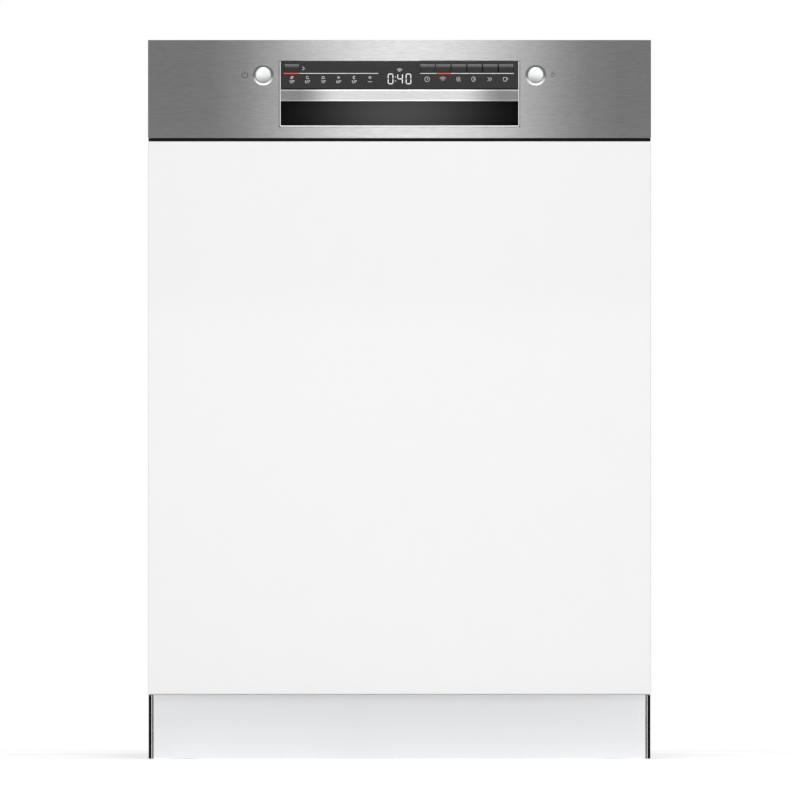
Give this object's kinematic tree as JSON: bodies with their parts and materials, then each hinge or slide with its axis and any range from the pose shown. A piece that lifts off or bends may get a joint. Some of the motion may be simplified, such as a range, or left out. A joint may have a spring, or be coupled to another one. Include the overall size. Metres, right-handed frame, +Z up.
{
  "type": "built-in dishwasher",
  "caption": "Built-in dishwasher with steel control console, recessed grip, white drop-down door, plinth, sliding racks, spray arms and screw feet.",
  "frame": {"origin": "bottom centre of the bounding box, on the floor", "axes": "+Z up, the door faces -Y, +X to the right seen from the front"},
  "size_m": [0.598, 0.573, 0.856],
  "materials": {
    "steel_brushed": "horizontal brushed",
    "white_panel": "white satin lacquer on furniture board",
    "white_plinth": "white satin lacquer on board",
    "stainless": "satin stainless",
    "galvanised": "galvanised sheet",
    "steel_parts": "zinc plated",
    "black_plastic": "fine grain black",
    "base_plastic": "moulded black",
    "grey_plastic": "moulded grey",
    "white_plastic": "moulded white",
    "gloss_panel": "high gloss black",
    "key_gloss": "high gloss black",
    "button_metal": "satin turned",
    "grip_metal": "satin brushed",
    "rubber": "soft grey-black",
    "rack_wire": "nylon coated wire, silver grey",
    "arm_plastic": "moulded grey",
    "cap_plastic": "moulded light grey",
    "blue_plastic": "moulded blue-grey",
    "board_green": "circuit board",
    "wheel_plastic": "moulded grey",
    "foot_plastic": "moulded black",
    "heat_tank": "translucent white"
  },
  "bodies": {
    "cabinet": {"base_tray": "base_plastic", "hinge_brackets": "steel_parts", "tub": "stainless", "door_gasket": "rubber", "side_panels": "galvanised", "back_panel": "galvanised", "top_cover": "galvanised", "plinth_panel": "white_plinth", "plinth_end_trims": "black_plastic", "sump": "grey_plastic", "fine_filter": "stainless", "salt_container": "white_plastic", "circulation_pump": "black_plastic", "drain_pump": "black_plastic", "heat_exchanger": "heat_tank", "control_module": "white_plastic", "inlet_valve": "white_plastic", "mains_socket": "black_plastic", "feed_pipe": "grey_plastic", "rail_rollers": "wheel_plastic"},
    "door": {"furniture_panel": "white_panel", "door_outer_panel": "galvanised", "door_inner_liner": "stainless", "hinge_arms": "steel_parts", "door_screws": "steel_parts", "lower_door_seal": "rubber", "console_fascia": "steel_brushed", "console_housing": "black_plastic", "console_trim": "black_plastic", "display_window": "gloss_panel", "grip_bar": "grip_metal", "display_board": "board_green", "door_latch": "black_plastic", "dispenser_body": "cap_plastic"},
    "filter_cylinder": {"filter_cylinder": "grey_plastic"},
    "salt_cap": {"salt_cap": "white_plastic"},
    "front_left_foot": {"front_left_foot": "foot_plastic"},
    "front_right_foot": {"front_right_foot": "foot_plastic"},
    "rear_foot": {"rear_foot": "foot_plastic"},
    "detergent_lid": {"detergent_lid": "arm_plastic"},
    "rinse_aid_cap": {"rinse_aid_cap": "blue_plastic"},
    "power_button": {"power_button": "button_metal"},
    "start_button": {"start_button": "button_metal"},
    "program_button": {"program_button": "key_gloss"},
    "upper_rails": {"upper_rails": "stainless"},
    "upper_basket": {"upper_basket": "rack_wire"},
    "upper_spray_arm": {"upper_spray_arm": "arm_plastic"},
    "cup_shelf": {"cup_shelf": "rack_wire"},
    "lower_basket": {"lower_basket": "rack_wire"},
    "lower_tines": {"lower_tines": "rack_wire"},
    "cutlery_basket": {"cutlery_basket": "grey_plastic"},
    "lower_spray_arm": {"lower_spray_arm": "arm_plastic"},
    "lower_wheels_front": {"lower_wheels_front": "wheel_plastic"},
    "lower_wheels_rear": {"lower_wheels_rear": "wheel_plastic"},
    "option_button_1": {"option_button_1": "key_gloss"},
    "option_button_2": {"option_button_2": "key_gloss"},
    "option_button_3": {"option_button_3": "key_gloss"},
    "option_button_4": {"option_button_4": "key_gloss"},
    "option_button_5": {"option_button_5": "key_gloss"},
    "option_button_6": {"option_button_6": "key_gloss"}
  },
  "joints": [
    {"name": "door_hinge", "type": "hinge", "parent": "cabinet", "child": "door", "pos_m": [0, -0.258, 0.125], "axis": [1, 0, 0], "range_deg": [0, 90], "stiffness_Nm_per_rad": 29},
    {"name": "upper_rail_slide", "type": "slide", "parent": "cabinet", "child": "upper_rails", "axis": [0, -1, 0], "range_m": [0, 0.225]},
    {"name": "upper_basket_slide", "type": "slide", "parent": "upper_rails", "child": "upper_basket", "axis": [0, -1, 0], "range_m": [0, 0.175]},
    {"name": "lower_basket_slide", "type": "slide", "parent": "cabinet", "child": "lower_basket", "axis": [0, -1, 0], "range_m": [0, 0.158]},
    {"name": "lower_wheels_front_spin", "type": "hinge", "parent": "lower_basket", "child": "lower_wheels_front", "pos_m": [0, -0.105, 0.182], "axis": [1, 0, 0], "continuous": true},
    {"name": "lower_wheels_rear_spin", "type": "hinge", "parent": "lower_basket", "child": "lower_wheels_rear", "pos_m": [0, 0.188, 0.182], "axis": [1, 0, 0], "continuous": true},
    {"name": "cutlery_basket_lift", "type": "slide", "parent": "lower_basket", "child": "cutlery_basket", "axis": [0, 0, 1], "range_m": [0, 0.1]},
    {"name": "lower_tines_fold", "type": "hinge", "parent": "lower_basket", "child": "lower_tines", "pos_m": [-0.12, 0.065, 0.2345], "axis": [-1, 0, 0], "range_deg": [0, 85]},
    {"name": "cup_shelf_fold", "type": "hinge", "parent": "upper_basket", "child": "cup_shelf", "pos_m": [-0.245, 0.019, 0.64292], "axis": [0, -1, 0], "range_deg": [0, 85]},
    {"name": "upper_arm_spin", "type": "hinge", "parent": "upper_basket", "child": "upper_spray_arm", "pos_m": [0, 0.0295, 0.52492], "axis": [0, 0, 1], "continuous": true},
    {"name": "lower_arm_spin", "type": "hinge", "parent": "cabinet", "child": "lower_spray_arm", "pos_m": [0, 0.0295, 0.192], "axis": [0, 0, 1], "continuous": true},
    {"name": "filter_twist", "type": "hinge", "parent": "cabinet", "child": "filter_cylinder", "pos_m": [0.085, -0.0705, 0.114], "axis": [0, 0, 1], "range_deg": [0, 90]},
    {"name": "salt_cap_turn", "type": "hinge", "parent": "cabinet", "child": "salt_cap", "pos_m": [-0.15, 0.1195, 0.16], "axis": [0, 0, 1], "range_deg": [0, 360]},
    {"name": "detergent_lid_slide", "type": "slide", "parent": "door", "child": "detergent_lid", "axis": [0, 0, -1], "range_m": [0, 0.06]},
    {"name": "rinse_aid_cap_turn", "type": "hinge", "parent": "door", "child": "rinse_aid_cap", "pos_m": [0.055, -0.223, 0.4654], "axis": [0, 1, 0], "range_deg": [0, 90]},
    {"name": "power_button_press", "type": "slide", "parent": "door", "child": "power_button", "axis": [0, 1, 0], "range_m": [0, 0.0015], "stiffness_N_per_m": 800},
    {"name": "start_button_press", "type": "slide", "parent": "door", "child": "start_button", "axis": [0, 1, 0], "range_m": [0, 0.0015], "stiffness_N_per_m": 800},
    {"name": "program_button_press", "type": "slide", "parent": "door", "child": "program_button", "axis": [0, 1, 0], "range_m": [0, 0.0015], "stiffness_N_per_m": 800},
    {"name": "option_button_1_press", "type": "slide", "parent": "door", "child": "option_button_1", "axis": [0, 1, 0], "range_m": [0, 0.0015], "stiffness_N_per_m": 800},
    {"name": "option_button_2_press", "type": "slide", "parent": "door", "child": "option_button_2", "axis": [0, 1, 0], "range_m": [0, 0.0015], "stiffness_N_per_m": 800},
    {"name": "option_button_3_press", "type": "slide", "parent": "door", "child": "option_button_3", "axis": [0, 1, 0], "range_m": [0, 0.0015], "stiffness_N_per_m": 800},
    {"name": "option_button_4_press", "type": "slide", "parent": "door", "child": "option_button_4", "axis": [0, 1, 0], "range_m": [0, 0.0015], "stiffness_N_per_m": 800},
    {"name": "option_button_5_press", "type": "slide", "parent": "door", "child": "option_button_5", "axis": [0, 1, 0], "range_m": [0, 0.0015], "stiffness_N_per_m": 800},
    {"name": "option_button_6_press", "type": "slide", "parent": "door", "child": "option_button_6", "axis": [0, 1, 0], "range_m": [0, 0.0015], "stiffness_N_per_m": 800},
    {"name": "front_left_foot_height", "type": "slide", "parent": "cabinet", "child": "front_left_foot", "axis": [0, 0, 1], "range_m": [-0.019, 0.041]},
    {"name": "front_right_foot_height", "type": "slide", "parent": "cabinet", "child": "front_right_foot", "axis": [0, 0, 1], "range_m": [-0.019, 0.041]},
    {"name": "rear_foot_height", "type": "slide", "parent": "cabinet", "child": "rear_foot", "axis": [0, 0, 1], "range_m": [-0.019, 0.041]}
  ],
  "couplings": [
    {"joint": "upper_rail_slide", "follows": "door_hinge", "m_per_rad": 0.1432},
    {"joint": "upper_basket_slide", "follows": "door_hinge", "m_per_rad": 0.1114},
    {"joint": "lower_basket_slide", "follows": "door_hinge", "m_per_rad": 0.1},
    {"joint": "lower_wheels_front_spin", "follows": "door_hinge", "ratio": 6.25},
    {"joint": "lower_wheels_rear_spin", "follows": "door_hinge", "ratio": 6.25}
  ]
}
